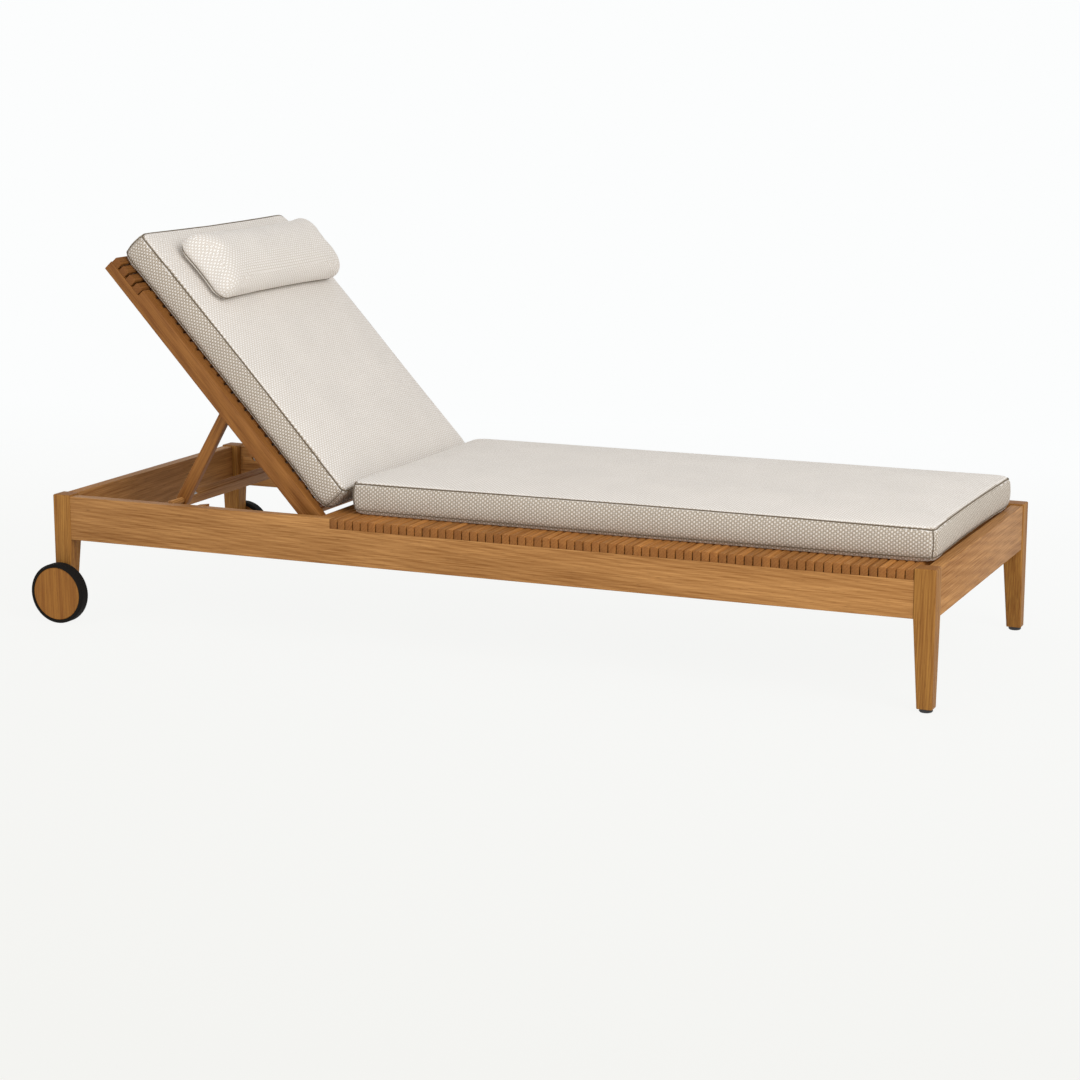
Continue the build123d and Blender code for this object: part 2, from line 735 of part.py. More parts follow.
# A cushion's levels as heights and insets: flat underside, boxed side between two seams, crown.
cushion_levels = [
    (0, edge_inset),
    (seam_height - seam_width, 0),
    (seam_height, seam_depth),
    (seam_height + seam_width, 0),
    (cushion_thickness / 2, -band_bulge),
    (cushion_thickness - seam_width, 0),
    (cushion_thickness, seam_depth),
]
for height_share, inset_share in crown_level_shares:
    cushion_levels.append((cushion_thickness + height_share * cushion_crown, inset_share * crown_reach))
back_top_end = back_length + back_cushion_overrun
seat_cushion_from = hinge_x + seat_cushion_setoff
seat_cushion_to = x_foot - seat_cushion_foot_gap
seat_bed = Plane(origin=((seat_cushion_from + seat_cushion_to) / 2, 0, rail_top + seat_gap))
back_bed = back_front((back_cushion_setoff + back_top_end) / 2, rail_half_depth + seat_gap)
cushion_beds = (
    ("seat_cushion", seat_bed, seat_cushion_to - seat_cushion_from),
    ("back_cushion", back_bed, back_top_end - back_cushion_setoff),
)
for name, bed, length in cushion_beds:
    sections = []
    for height, inset in cushion_levels:
        corner = cushion_corner + corner_growth * max(inset, 0)
        sections.append(soft_section(bed.offset(height), length, cushion_width, inset, corner, side_pull))
    with BuildPart() as cushion:
        loft(sections, ruled=True)
    cushion.part.label = name
    export_step(cushion.part, f"parts/{name}.step")

# The headrest, a plump pad that lies across the top of the back cushion.
pillow_bed = back_front(
    back_top_end - pillow_from_top - pillow_height / 2,
    rail_half_depth + cushion_thickness + cushion_crown + 2 * seat_gap,
)
pillow_sections = []
for height_share, inset_share in pillow_level_shares:
    level = pillow_bed.offset(height_share * pillow_thickness)
    inset = inset_share * pillow_edge_inset
    corner = pillow_corner - pillow_corner_loss * inset
    pillow_sections.append(soft_section(level, pillow_height, pillow_length, inset, corner, pillow_pull))
with BuildPart() as headrest_pillow:
    loft(pillow_sections, ruled=True)
headrest_pillow.part.label = "headrest_pillow"
export_step(headrest_pillow.part, "parts/headrest_pillow.step")
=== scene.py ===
# %% [markdown]
# # A wooden sun lounger
# The lounger is a low oiled teak frame with a slatted seat, a slatted backrest that tilts on a
# prop and two notched racks, two wheels at the head end, and three pads in a woven outdoor
# fabric. Its solids come in already sized and placed, so this file gives each piece its finish,
# softens the edges of the timber, and makes the pads as stuffed fabric.

# %% Load the solids
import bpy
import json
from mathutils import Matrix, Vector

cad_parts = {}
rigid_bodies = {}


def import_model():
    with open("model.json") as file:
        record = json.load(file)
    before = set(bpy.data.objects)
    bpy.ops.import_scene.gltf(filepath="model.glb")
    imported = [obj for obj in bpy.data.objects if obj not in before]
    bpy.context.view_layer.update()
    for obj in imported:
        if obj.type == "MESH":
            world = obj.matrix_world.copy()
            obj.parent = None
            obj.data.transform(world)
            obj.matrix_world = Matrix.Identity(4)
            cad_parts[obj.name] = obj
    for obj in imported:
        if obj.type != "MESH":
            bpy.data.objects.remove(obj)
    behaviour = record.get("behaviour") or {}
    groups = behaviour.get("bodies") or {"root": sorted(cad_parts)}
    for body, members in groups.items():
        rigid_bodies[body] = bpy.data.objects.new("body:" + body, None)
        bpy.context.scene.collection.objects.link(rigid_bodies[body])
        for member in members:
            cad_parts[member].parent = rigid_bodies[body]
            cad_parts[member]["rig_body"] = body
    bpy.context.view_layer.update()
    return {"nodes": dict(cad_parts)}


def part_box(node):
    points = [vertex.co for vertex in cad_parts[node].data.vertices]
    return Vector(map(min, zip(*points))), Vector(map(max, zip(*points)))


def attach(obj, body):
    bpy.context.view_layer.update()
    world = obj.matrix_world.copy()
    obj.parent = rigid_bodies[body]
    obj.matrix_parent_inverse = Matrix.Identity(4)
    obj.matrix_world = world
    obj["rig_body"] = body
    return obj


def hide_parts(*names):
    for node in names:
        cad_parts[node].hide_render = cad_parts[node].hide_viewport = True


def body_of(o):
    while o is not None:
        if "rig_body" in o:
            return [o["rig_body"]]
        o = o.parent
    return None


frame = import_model()

# %% [markdown]
# Everything is in metres, with X along the lounger from head to foot, Y across it and Z up. The
# backrest and its cushion lean back, so their places are worked out once here, from the box of a
# hinge pin and the angle of the backrest.

# %% Sizes used by several pieces
import json
from math import cos, pi, radians, sin, tan
import bpy
from mathutils import Matrix, Vector
from mathutils.kdtree import KDTree

MM = 0.001
BACK_LEAN = radians(47.5)
PROP_LEAN = radians(60)
hinge_low, hinge_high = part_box("hinge_pin_near")
hinge = (hinge_low + hinge_high) / 2
hinge.y = 0
up_the_back = Vector((-cos(BACK_LEAN), 0, sin(BACK_LEAN)))
out_of_back = Vector((sin(BACK_LEAN), 0, cos(BACK_LEAN)))
down_the_prop = Vector((-cos(PROP_LEAN), 0, -sin(PROP_LEAN)))
along_x, along_y, along_z = Vector((1, 0, 0)), Vector((0, 1, 0)), Vector((0, 0, 1))
print("the backrest turns about", [round(c, 4) for c in hinge])

# %% [markdown]
# Colours are picked as the sRGB hex values that a paint chart or a picture editor shows. Blender's
# shaders want linear light, so one function turns each hex value into that.

# %% Colours from hex values
def srgb(hex_text):
    """An sRGB hex colour as the linear colour that shaders take."""
    channels = [int(hex_text[place:place + 2], 16) / 255 for place in (1, 3, 5)]
    linear = [c / 12.92 if c <= 0.04045 else ((c + 0.055) / 1.055) ** 2.4 for c in channels]
    return (*linear, 1)

# %% [markdown]
# A material is a small network of nodes, and so is the world. One function adds a node to it: the
# settings are the choices on the node's face, and each input gets either a fixed number or
# another node's output.

# %% Adding a node
def set_inputs(owner, node, inputs):
    """Links another node's output to each of a node's inputs, or gives it a fixed value."""
    for socket, value in inputs.items():
        if isinstance(value, bpy.types.NodeSocket):
            owner.node_tree.links.new(value, node.inputs[socket])
        else:
            node.inputs[socket].default_value = value

def add_node(owner, kind, inputs, **settings):
    """Adds a shader node to a material or the world, and returns its outputs."""
    made = owner.node_tree.nodes.new("ShaderNode" + kind)
    for setting, choice in settings.items():
        setattr(made, setting, choice)
    set_inputs(owner, made, inputs)
    return made.outputs

# %% A new material and its surface
def new_material(name):
    """An empty material with a Principled surface joined to its output."""
    material = bpy.data.materials.new(name)
    material.use_nodes = True
    material.node_tree.nodes.clear()
    surface = add_node(material, "BsdfPrincipled", {})
    add_node(material, "OutputMaterial", {"Surface": surface["BSDF"]})
    return material, surface["BSDF"].node

# %% [markdown]
# Teak is cut so that its grain runs along each board. Its figure comes from the tree's growth
# rings: cylinders about the middle of a trunk that runs about 10 cm beside the pattern's start and
# leans a little, so that a face cuts them in long arches and an edge cuts them in straight lines.
# A Wave node draws the rings. Noise stretched along the board adds bands of tone, streaks a few
# millimetres wide and short dark pores. A Mapping node set to Texture turns a pattern to the board
# and stretches it by real sizes, so a board is described by a place, the way its grain runs and
# the way across it.

# %% How a board's grain is turned
def grain_turn(along, across):
    """The turn that takes X to the grain's direction and Y to the way across the board."""
    columns = (along, across, along.cross(across))
    return Matrix(columns).transposed().to_euler()

# %% Oiled teak
# Planed and oiled teak: golden brown, with a satin that shows only as a broad, soft gloss.
def oiled_teak(name, place, along, across, dark="#80501F", light="#BD8A51", pitch=0, spread=0.16):
    """Teak with its grain along a board. A pitch gives each slat its own tone and figure."""
    material, surface = new_material(name)
    turn = grain_turn(along, across)
    spot = add_node(material, "TexCoord", {})
    board = add_node(
        material, "Mapping",
        {"Vector": spot["Object"], "Location": place, "Rotation": turn}, vector_type="TEXTURE",
    )["Vector"]
    if pitch:
        parts = add_node(material, "SeparateXYZ", {0: board})
        counted = add_node(material, "Math", {0: parts["Y"], 1: pitch}, operation="DIVIDE")
        slat = add_node(material, "Math", {0: counted[0]}, operation="FLOOR")[0]
        shift = add_node(material, "Math", {0: slat, 1: 0.37}, operation="MULTIPLY")[0]
        board = add_node(material, "VectorMath", {0: board, 1: shift}, operation="ADD")[0]
    grain = {}
    # Each figure has its size along, across and through the board, in metres.
    for figure, size, detail, wander in (
        ("band", (0.50, 0.026, 0.026), 3, 0.8),
        ("streak", (0.12, 0.0022, 0.0022), 5, 0.4),
        ("pore", (0.022, 0.0013, 0.0013), 2, 0),
    ):
        stretched = add_node(
            material, "Mapping", {"Vector": board, "Scale": size}, vector_type="TEXTURE",
        )["Vector"]
        grain[figure] = add_node(
            material, "TexNoise",
            {"Vector": stretched, "Scale": 1, "Detail": detail, "Distortion": wander},
        )[0]
    trunk_middle, trunk_lean = (0, 0.085, -0.06), (0, radians(1.6), radians(2.4))
    trunk = add_node(
        material, "Mapping",
        {
            "Vector": board, "Location": trunk_middle, "Rotation": trunk_lean,
            "Scale": (5, 1, 1),
        },
        vector_type="TEXTURE",
    )["Vector"]
    ring_gap = 5.5 * MM
    rings = add_node(
        material, "TexWave",
        {
            "Vector": trunk, "Scale": pi / 10 / ring_gap, "Distortion": 3.2, "Detail": 3,
            "Detail Scale": 0.35, "Detail Roughness": 0.55,
        },
        wave_type="RINGS", rings_direction="X", wave_profile="SIN",
    )["Fac"]
    mixed = add_node(
        material, "Mix", {"Factor": 0.6, 2: grain["band"], 3: grain["streak"]}, data_type="FLOAT",
    )[0]
    mixed = add_node(
        material, "Mix", {"Factor": 0.07, 2: mixed, 3: rings}, data_type="FLOAT",
    )[0]
    tone = add_node(
        material, "MapRange", {"Value": mixed, "From Min": 0.32, "From Max": 0.67},
    )[0]
    colour = add_node(
        material, "Mix", {0: tone, 6: srgb(dark), 7: srgb(light)}, data_type="RGBA",
    )[2]
    pores = add_node(
        material, "MapRange",
        {"Value": grain["pore"], "From Min": 0.60, "From Max": 0.74, "To Max": 0.45},
    )[0]
    colour = add_node(
        material, "Mix", {0: pores, 6: colour, 7: srgb("#54310F")}, data_type="RGBA",
    )[2]
    if pitch:
        chance = add_node(material, "TexWhiteNoise", {"W": slat}, noise_dimensions="1D")["Value"]
        lift = add_node(
            material, "MapRange",
            {"Value": chance, "To Min": 1 - spread, "To Max": 1 + spread / 2},
        )[0]
        colour = add_node(
            material, "VectorMath", {0: colour, "Scale": lift}, operation="SCALE",
        )[0]
    facing = add_node(
        material, "VectorMath", {0: spot["Normal"], 1: along}, operation="DOT_PRODUCT",
    )["Value"]
    end_on = add_node(material, "Math", {0: facing}, operation="ABSOLUTE")[0]
    end_grain = add_node(
        material, "MapRange",
        {"Value": end_on, "From Min": 0.75, "From Max": 0.97, "To Max": 0.5},
    )[0]
    colour = add_node(
        material, "Mix", {0: end_grain, 6: colour, 7: srgb("#77461A")}, data_type="RGBA",
    )[2]
    relief = add_node(
        material, "Math", {0: grain["streak"], 1: pores}, operation="SUBTRACT",
    )[0]
    bump = add_node(
        material, "Bump", {"Height": relief, "Strength": 0.4, "Distance": 0.4 * MM},
    )["Normal"]
    gloss = add_node(
        material, "MapRange", {"Value": grain["streak"], "To Min": 0.66, "To Max": 0.5},
    )[0]
    set_inputs(material, surface, {
        "Base Color": colour, "Roughness": gloss, "Normal": bump, "Specular IOR Level": 0.2,
    })
    return material

# %% [markdown]
# The long and short rails, the legs, the sloping backrest and the prop each need the grain turned
# their own way, and the slats also need to differ from one to the next, as they are cut from
# different boards. A slat's number, counted by the pitch of the slats, gives it its own tone.

# %% Teak for each run of timber
seat_low, seat_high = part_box("seat_slats")
seat_slat_count = 72
seat_slat_pitch = (seat_high.x - seat_low.x) / seat_slat_count
back_slat_pitch = 25 * MM
top_slats_from_hinge = 0.650
top_slats_from = hinge + top_slats_from_hinge * up_the_back
rail_teak = oiled_teak("oiled teak, long rails", (0, 0, 0), along_x, along_y)
end_teak = oiled_teak("oiled teak, end rails and bars", (0, 0, 0), along_y, -along_x)
# The legs take darker teak than the rails: painted shade, for the shade under the rails.
leg_teak_painted_shade = oiled_teak(
    "oiled teak, legs", (0, 0, 0), along_z, along_x, dark="#724314", light="#AC7A38",
)
slat_teak = oiled_teak(
    "oiled teak, seat slats", (seat_low.x, 0, 0), along_y, -along_x,
    dark="#7A4819", light="#B97F42", pitch=seat_slat_pitch, spread=0.24,
)
# The backrest's rails and slats and the prop arms take darker teak than the frame: painted shade,
# for the shade under the back cushion.
back_teak_painted_shade = oiled_teak(
    "oiled teak, backrest rails", hinge, up_the_back, along_y, dark="#683A12", light="#96632D",
)
back_slat_teak_painted_shade = oiled_teak(
    "oiled teak, backrest slats", top_slats_from, along_y, -up_the_back,
    dark="#65390F", light="#96632F", pitch=back_slat_pitch, spread=0.24,
)
prop_teak_painted_shade = oiled_teak(
    "oiled teak, prop arms", (0, 0, 0), down_the_prop, along_y, dark="#683A12", light="#96632D",
)
print("a seat slat comes every", round(seat_slat_pitch / MM, 2), "mm")

# %% [markdown]
# A wheel is a disc of teak with upright grain. It turns about its own middle, so its grain starts
# there, and its colour is a little darker than the rails'.

# %% Teak for the wheels
wheel_low, wheel_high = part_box("wheel_disc_near")
axle = (wheel_low + wheel_high) / 2
disc_teak = oiled_teak(
    "oiled teak, wheel discs", (axle.x, 0, axle.z), along_z, along_x,
    dark="#744315", light="#A06C2D",
)
print("wheel centre", [round(c, 4) for c in axle])

# %% [markdown]
# The other hard parts are small: vulcanised rubber tyres, moulded black glides and spacers, nylon
# bushes, and brushed stainless steel screws, pins, washers and angles. Each gets fine noise in its
# roughness and relief, because a perfectly even surface looks like a computer's.

# %% Rubber, plastic, nylon and steel
def plain_finish(name, colour, worn, rough, grit, metal=0.0, depth=0.05, gleam=0.5):
    """A moulded or turned finish: two near tones and a fine grit of that size in metres."""
    material, surface = new_material(name)
    spot = add_node(material, "TexCoord", {})
    speck = add_node(
        material, "TexNoise", {"Vector": spot["Object"], "Scale": 1 / grit, "Detail": 3},
    )[0]
    tint = add_node(
        material, "Mix", {0: speck, 6: srgb(colour), 7: srgb(worn)}, data_type="RGBA",
    )[2]
    shine = add_node(
        material, "MapRange", {"Value": speck, "To Min": rough - 0.1, "To Max": rough + 0.1},
    )[0]
    bump = add_node(
        material, "Bump", {"Height": speck, "Strength": 0.5, "Distance": depth * MM},
    )["Normal"]
    set_inputs(material, surface, {
        "Base Color": tint, "Roughness": shine, "Normal": bump, "Metallic": metal,
        "Specular IOR Level": gleam,
    })
    return material

# Vulcanised rubber: nearly black and dull, a little brown where it has met the ground.
tyre_rubber = plain_finish(
    "vulcanised rubber", "#0C0A08", "#17130F", 0.85, 1.5 * MM, depth=0.15, gleam=0.15,
)
# Moulded polypropylene: black with a soft sheen.
glide_black = plain_finish("moulded polypropylene", "#17171A", "#222225", 0.5, 1.2 * MM)
# Machined nylon: milky white and waxy.
nylon = plain_finish("machined nylon", "#D6D2C6", "#C7C2B4", 0.45, 2 * MM)
# Brushed stainless steel: grey, with a blurred shine.
steel = plain_finish("brushed stainless steel", "#B5B4B0", "#8F8E8A", 0.34, 0.8 * MM, metal=1.0)
print("four plain finishes")

# %% [markdown]
# The timber is already the right shape, but many edges of its solids are perfect knife edges, and
# real joinery is sanded. Each wooden piece is copied, its loose triangles are merged back into flat
# faces, and its edges are rounded by a millimetre or so with a Bevel, which gives each edge the
# fine line of light that makes it look real. The piece then stands for the solid.

# %% Choosing one object
def only(thing):
    """Makes this the one selected and active object."""
    bpy.ops.object.select_all(action="DESELECT")
    thing.select_set(True)
    bpy.context.view_layer.objects.active = thing

# %% A copy of a solid with whole faces
def copy_of(solid, name):
    """A merged copy of a solid's mesh as a new object, with no material."""
    piece = bpy.data.objects.new(name, frame["nodes"][solid].data.copy())
    bpy.context.scene.collection.objects.link(piece)
    piece.data.materials.clear()
    only(piece)
    bpy.ops.object.mode_set(mode="EDIT")
    bpy.ops.mesh.select_all(action="SELECT")
    bpy.ops.mesh.customdata_custom_splitnormals_clear()
    bpy.ops.mesh.remove_doubles(threshold=0.01 * MM)
    bpy.ops.mesh.dissolve_limited(angle_limit=radians(1))
    bpy.ops.object.mode_set(mode="OBJECT")
    return piece

# %% A sanded piece of timber
def sand(solid, material, round_by):
    """A wooden piece with rounded edges, in the place of its solid."""
    piece = copy_of(solid, "timber_" + solid)
    edge = piece.modifiers.new("Sanded edges", "BEVEL")
    edge.width = round_by
    edge.segments = 2
    edge.limit_method = "ANGLE"
    edge.angle_limit = radians(35)
    edge.use_clamp_overlap = True
    bpy.ops.object.modifier_apply(modifier=edge.name)
    bpy.ops.object.shade_smooth_by_angle(angle=radians(40))
    piece.data.materials.append(material)
    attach(piece, body_of(frame["nodes"][solid])[0])
    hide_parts(solid)

# %% Sand all the timber
# Each piece has its teak and how far its edges are rounded, in millimetres.
timber = [
    ("rail_near", rail_teak, 1.2), ("rail_far", rail_teak, 1.2),
    ("apron_head", end_teak, 1.2), ("apron_foot", end_teak, 1.2),
    ("leg_head_near", leg_teak_painted_shade, 0.8), ("leg_head_far", leg_teak_painted_shade, 0.8),
    ("leg_foot_near", leg_teak_painted_shade, 0.8), ("leg_foot_far", leg_teak_painted_shade, 0.8),
    ("seat_bearer_head", end_teak, 1.2), ("seat_bearer_centre", rail_teak, 1.2),
    ("seat_stretcher", end_teak, 1.2), ("rack_near", rail_teak, 0.8), ("rack_far", rail_teak, 0.8),
    ("back_rail_near", back_teak_painted_shade, 1.5), ("back_rail_far", back_teak_painted_shade, 1.5),
    ("back_bar_low", end_teak, 1.2), ("back_bar_high", end_teak, 1.2),
    ("back_bearer", back_teak_painted_shade, 1.2), ("prop_arm_near", prop_teak_painted_shade, 1.2),
    ("prop_arm_far", prop_teak_painted_shade, 1.2), ("prop_bar", end_teak, 1.0),
]
slats = [
    ("seat_slats", slat_teak, 0.8), ("back_slats", back_slat_teak_painted_shade, 0.8),
    ("back_top_slats", back_slat_teak_painted_shade, 0.8),
]
for solid, material, round_by in timber:
    sand(solid, material, round_by * MM)
for solid, material, round_by in slats:
    sand(solid, material, round_by * MM)
print(len(timber) + len(slats), "pieces of timber sanded")

# %% [markdown]
# The small parts stay as they are and only take their finish. The tyres are rounded and the discs,
# glides and prop pins are chamfered in their solids already, and the bolts, washers, bushes and
# angles are too small for a rounded edge to show.

# %% Finish the small solids
finishes = {
    tyre_rubber: ("tyre_near", "tyre_far"),
    disc_teak: ("wheel_disc_near", "wheel_disc_far", "wheel_cap_near", "wheel_cap_far"),
    glide_black: ("glide_near", "glide_far", "hinge_spacer_near", "hinge_spacer_far"),
    nylon: ("hub_bush_near", "hub_bush_far"),
    steel: (
        "rack_screws", "hinge_pin_near", "hinge_pin_far", "wheel_bolt_near", "wheel_bolt_far",
        "wheel_washer_near", "wheel_washer_far", "prop_pin_near", "prop_pin_far",
        "prop_washer_near", "prop_washer_far", "prop_bracket_near", "prop_bracket_far",
    ),
}
for material, solids in finishes.items():
    for solid in solids:
        skin = frame["nodes"][solid].data.materials
        skin.clear()
        skin.append(material)
print(sum(len(solids) for solids in finishes.values()), "small solids finished")

# %% [markdown]
# A steel angle ties each end of the prop's bar to its arm, and each flange of an angle takes one
# button-head screw. A screw head is a short cylinder with a rounded rim and a socket, which is an
# inset face pushed in. It is modelled once, standing on the origin, and copied to each flange.

# %% Model a button-head screw
head_radius, head_height, rim_round, rim_width, socket_depth = (
    size * MM for size in (3.6, 1.8, 0.9, 0.9, 1.1)
)
near_top = head_height - 0.1 * MM
bpy.ops.object.select_all(action="DESELECT")
bpy.ops.mesh.primitive_cylinder_add(
    vertices=18, radius=head_radius, depth=head_height, location=(0, 0, head_height / 2),
)
screw = bpy.context.object
bpy.ops.object.transform_apply(location=True)
bpy.ops.object.mode_set(mode="EDIT")
bpy.ops.mesh.select_mode(type="FACE")
bpy.ops.mesh.select_all(action="DESELECT")
bpy.ops.object.mode_set(mode="OBJECT")
for face in screw.data.polygons:
    face.select = face.center.z > near_top
bpy.ops.object.mode_set(mode="EDIT")
bpy.ops.mesh.bevel(offset=rim_round, segments=3, affect="EDGES")
bpy.ops.object.mode_set(mode="OBJECT")
for face in screw.data.polygons:
    face.select = face.normal.z > 0.99 and face.center.z > near_top
bpy.ops.object.mode_set(mode="EDIT")
bpy.ops.mesh.inset(thickness=rim_width)
bpy.ops.mesh.inset(thickness=0.1 * MM, depth=-socket_depth)
bpy.ops.object.mode_set(mode="OBJECT")
bpy.ops.object.shade_smooth_by_angle(angle=radians(35))
screw.data.materials.append(steel)
print("a screw head has", len(screw.data.polygons), "faces")

# %% Put a screw in each flange
up_the_prop = -down_the_prop
flange_length, flange_thickness = 26 * MM, 2 * MM
arm_screw_up, bar_screw_in = 17 * MM, 16 * MM
for tag, side in (("near", -1), ("far", 1)):
    angle_low, angle_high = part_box("prop_bracket_" + tag)
    corner = (angle_low + angle_high) / 2
    corner = Vector((corner.x, angle_high.y if side > 0 else angle_low.y, corner.z))
    lift = max(
        (v.co - corner) @ up_the_prop for v in frame["nodes"]["prop_bracket_" + tag].data.vertices
    )
    foot = corner + up_the_prop * (lift - flange_length)
    inward = -side * along_y
    flanges = {
        "arm": (foot + up_the_prop * arm_screw_up + inward * flange_thickness, inward),
        "bar": (foot + up_the_prop * flange_thickness + inward * bar_screw_in, up_the_prop),
    }
    for flange, (spot, out) in flanges.items():
        head = bpy.data.objects.new(f"screw_{flange}_{tag}", screw.data.copy())
        bpy.context.scene.collection.objects.link(head)
        turn = out.to_track_quat("Z", "Y").to_matrix().to_4x4()
        head.matrix_world = Matrix.Translation(spot) @ turn
        only(head)
        bpy.ops.object.transform_apply(location=True, rotation=True, scale=True)
        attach(head, "prop")
        print(head.name, [round(c / MM) for c in spot])
bpy.data.objects.remove(screw)

# %% [markdown]
# The pads are covered in an outdoor acrylic in a basket weave: pairs of thick yarns that cross
# other pairs, so the cloth is a chequer of small raised blocks with shadow between them. The
# pattern follows the cloth through UV coordinates, which are measured in metres here, so the
# size of a block is a real size.

# %% Basket-weave acrylic
# Spun acrylic yarn, dyed before it is woven: matt and slightly fuzzy. Its darker gaps and its
# darker crosswise blocks are painted shade.
def basket_weave(name, long, high, yarn, gap, shade, relief):
    """A basket weave with blocks of that length and height, on the piece's own UV map."""
    material, surface = new_material(name)
    cloth = add_node(material, "UVMap", {}, uv_map="Cloth")["UV"]
    blocks = add_node(
        material, "Mapping", {"Vector": cloth, "Scale": (long, high, 1)}, vector_type="TEXTURE",
    )["Vector"]
    slub = add_node(material, "TexNoise", {"Vector": blocks, "Scale": 0.8, "Detail": 3})
    uneven = add_node(
        material, "VectorMath", {0: slub["Color"], 1: (0.5, 0.5, 0.5)}, operation="SUBTRACT",
    )[0]
    uneven = add_node(material, "VectorMath", {0: uneven, "Scale": 0.22}, operation="SCALE")[0]
    woven = add_node(material, "VectorMath", {0: blocks, 1: uneven}, operation="ADD")[0]
    axes = add_node(material, "SeparateXYZ", {0: woven})
    # Along its length a yarn arches once in each block. Across it, two yarns lie side by side.
    arch, pair, whole = {}, {}, {}
    for axis in ("X", "Y"):
        within = add_node(material, "Math", {0: axes[axis]}, operation="FRACT")[0]
        whole[axis] = add_node(material, "Math", {0: axes[axis]}, operation="FLOOR")[0]
        half_turn = add_node(material, "Math", {0: within, 1: pi}, operation="MULTIPLY")[0]
        arch[axis] = add_node(material, "Math", {0: half_turn}, operation="SINE")[0]
        full_turn = add_node(material, "Math", {0: within, 1: 2 * pi}, operation="MULTIPLY")[0]
        wave = add_node(material, "Math", {0: full_turn}, operation="SINE")[0]
        pair[axis] = add_node(material, "Math", {0: wave}, operation="ABSOLUTE")[0]
    lengthwise = add_node(
        material, "Math", {0: arch["X"], 1: pair["Y"]}, operation="MULTIPLY",
    )[0]
    crosswise = add_node(
        material, "Math", {0: arch["Y"], 1: pair["X"]}, operation="MULTIPLY",
    )[0]
    count = add_node(material, "Math", {0: whole["X"], 1: whole["Y"]}, operation="ADD")[0]
    turn = add_node(material, "Math", {0: count, 1: 2}, operation="FLOORED_MODULO")[0]
    height = add_node(
        material, "Mix", {"Factor": turn, 2: lengthwise, 3: crosswise}, data_type="FLOAT",
    )[0]
    raised = add_node(
        material, "MapRange", {"Value": height, "From Max": 0.5},
        interpolation_type="SMOOTHSTEP",
    )[0]
    # The crosswise blocks lie lower and take the shade colour: painted shade.
    block_tone_painted_shade = add_node(
        material, "Mix", {0: turn, 6: srgb(yarn), 7: srgb(shade)}, data_type="RGBA",
    )[2]
    colour = add_node(
        material, "Mix", {0: raised, 6: srgb(gap), 7: block_tone_painted_shade}, data_type="RGBA",
    )[2]
    cloud = add_node(material, "TexNoise", {"Vector": cloth, "Scale": 9, "Detail": 2})[0]
    faded = add_node(material, "MapRange", {"Value": cloud, "To Min": 0.94, "To Max": 1.05})[0]
    colour = add_node(material, "VectorMath", {0: colour, "Scale": faded}, operation="SCALE")[0]
    bump = add_node(
        material, "Bump", {"Height": raised, "Strength": relief, "Distance": 0.8 * MM},
    )["Normal"]
    set_inputs(material, surface, {
        "Base Color": colour, "Roughness": 0.92, "Normal": bump, "Specular IOR Level": 0.15,
        "Sheen Weight": 0.15, "Sheen Roughness": 0.5,
    })
    return material

# %% Cloth for the top and the boxed sides
# The blocks are about 5 mm. The boxed sides are the same cloth pulled round an edge, where the
# blocks are drawn out along the side and the gaps between them stand open and show more. Their
# yarn and blocks are also darker than the top's: painted shade on the upright sides.
top_cloth = basket_weave(
    "basket-weave acrylic, top", 5.2 * MM, 4.6 * MM, "#FBF8F4", "#CBC0B3", "#E4DCD2", 0.7,
)
side_cloth_painted_shade = basket_weave(
    "basket-weave acrylic, boxed side", 5.6 * MM, 4.2 * MM, "#EFE8DE", "#85735E", "#C2B5A3", 0.9,
)
print(top_cloth.name, "and", side_cloth_painted_shade.name)

# %% Seam cord
# Twisted polyester cord: a dark line of a seam, mottled by its strands.
def seam_cord():
    """The cord's material: fine specks of a dark and a paler thread."""
    material, surface = new_material("twisted polyester cord")
    spot = add_node(material, "TexCoord", {})["Object"]
    strands = add_node(
        material, "TexNoise", {"Vector": spot, "Scale": 1 / (1.5 * MM), "Detail": 2},
    )[0]
    colour = add_node(
        material, "Mix", {0: strands, 6: srgb("#4A3E31"), 7: srgb("#85765F")}, data_type="RGBA",
    )[2]
    bump = add_node(
        material, "Bump", {"Height": strands, "Strength": 0.6, "Distance": 0.3 * MM},
    )["Normal"]
    set_inputs(material, surface, {"Base Color": colour, "Roughness": 0.85, "Normal": bump})
    return material

cord = seam_cord()
print(cord.name)

# %% [markdown]
# A cushion is a flat sewn case, stuffed tight: its top swells between the seams, and its sides
# pull in between the corners. Each is worked on lying flat at the origin, where up is Z, and laid
# in its place on the lounger at the end. These are the places that the flat cushions go to.

# %% Where each pad lies
def bed_of(solid, along, up):
    """The placing of a pad's flat shape, with X along it and Z out of it, and its two sizes."""
    across = up.cross(along)
    turn = Matrix((along, across, up))
    corners = [turn @ v.co for v in frame["nodes"][solid].data.vertices]
    low = Vector(min(corner[axis] for corner in corners) for axis in range(3))
    high = Vector(max(corner[axis] for corner in corners) for axis in range(3))
    middle = (low + high) / 2
    middle.z = low.z
    print(solid, "is", [round(side / MM) for side in high - low], "mm")
    place = Matrix.Translation(turn.transposed() @ middle) @ turn.transposed().to_4x4()
    return place, high.x - low.x, high.y - low.y

# %% [markdown]
# The stuffing is simulated. The case is remeshed into even small squares, the cloth is blown up a
# little by pressure from inside, with gravity off, and held fast where it is sewn or where it lies
# on what carries it. How far any point may move is capped, so that the pad keeps its size.

# %% Stuff a pad
STUFFING_FRAMES = 20

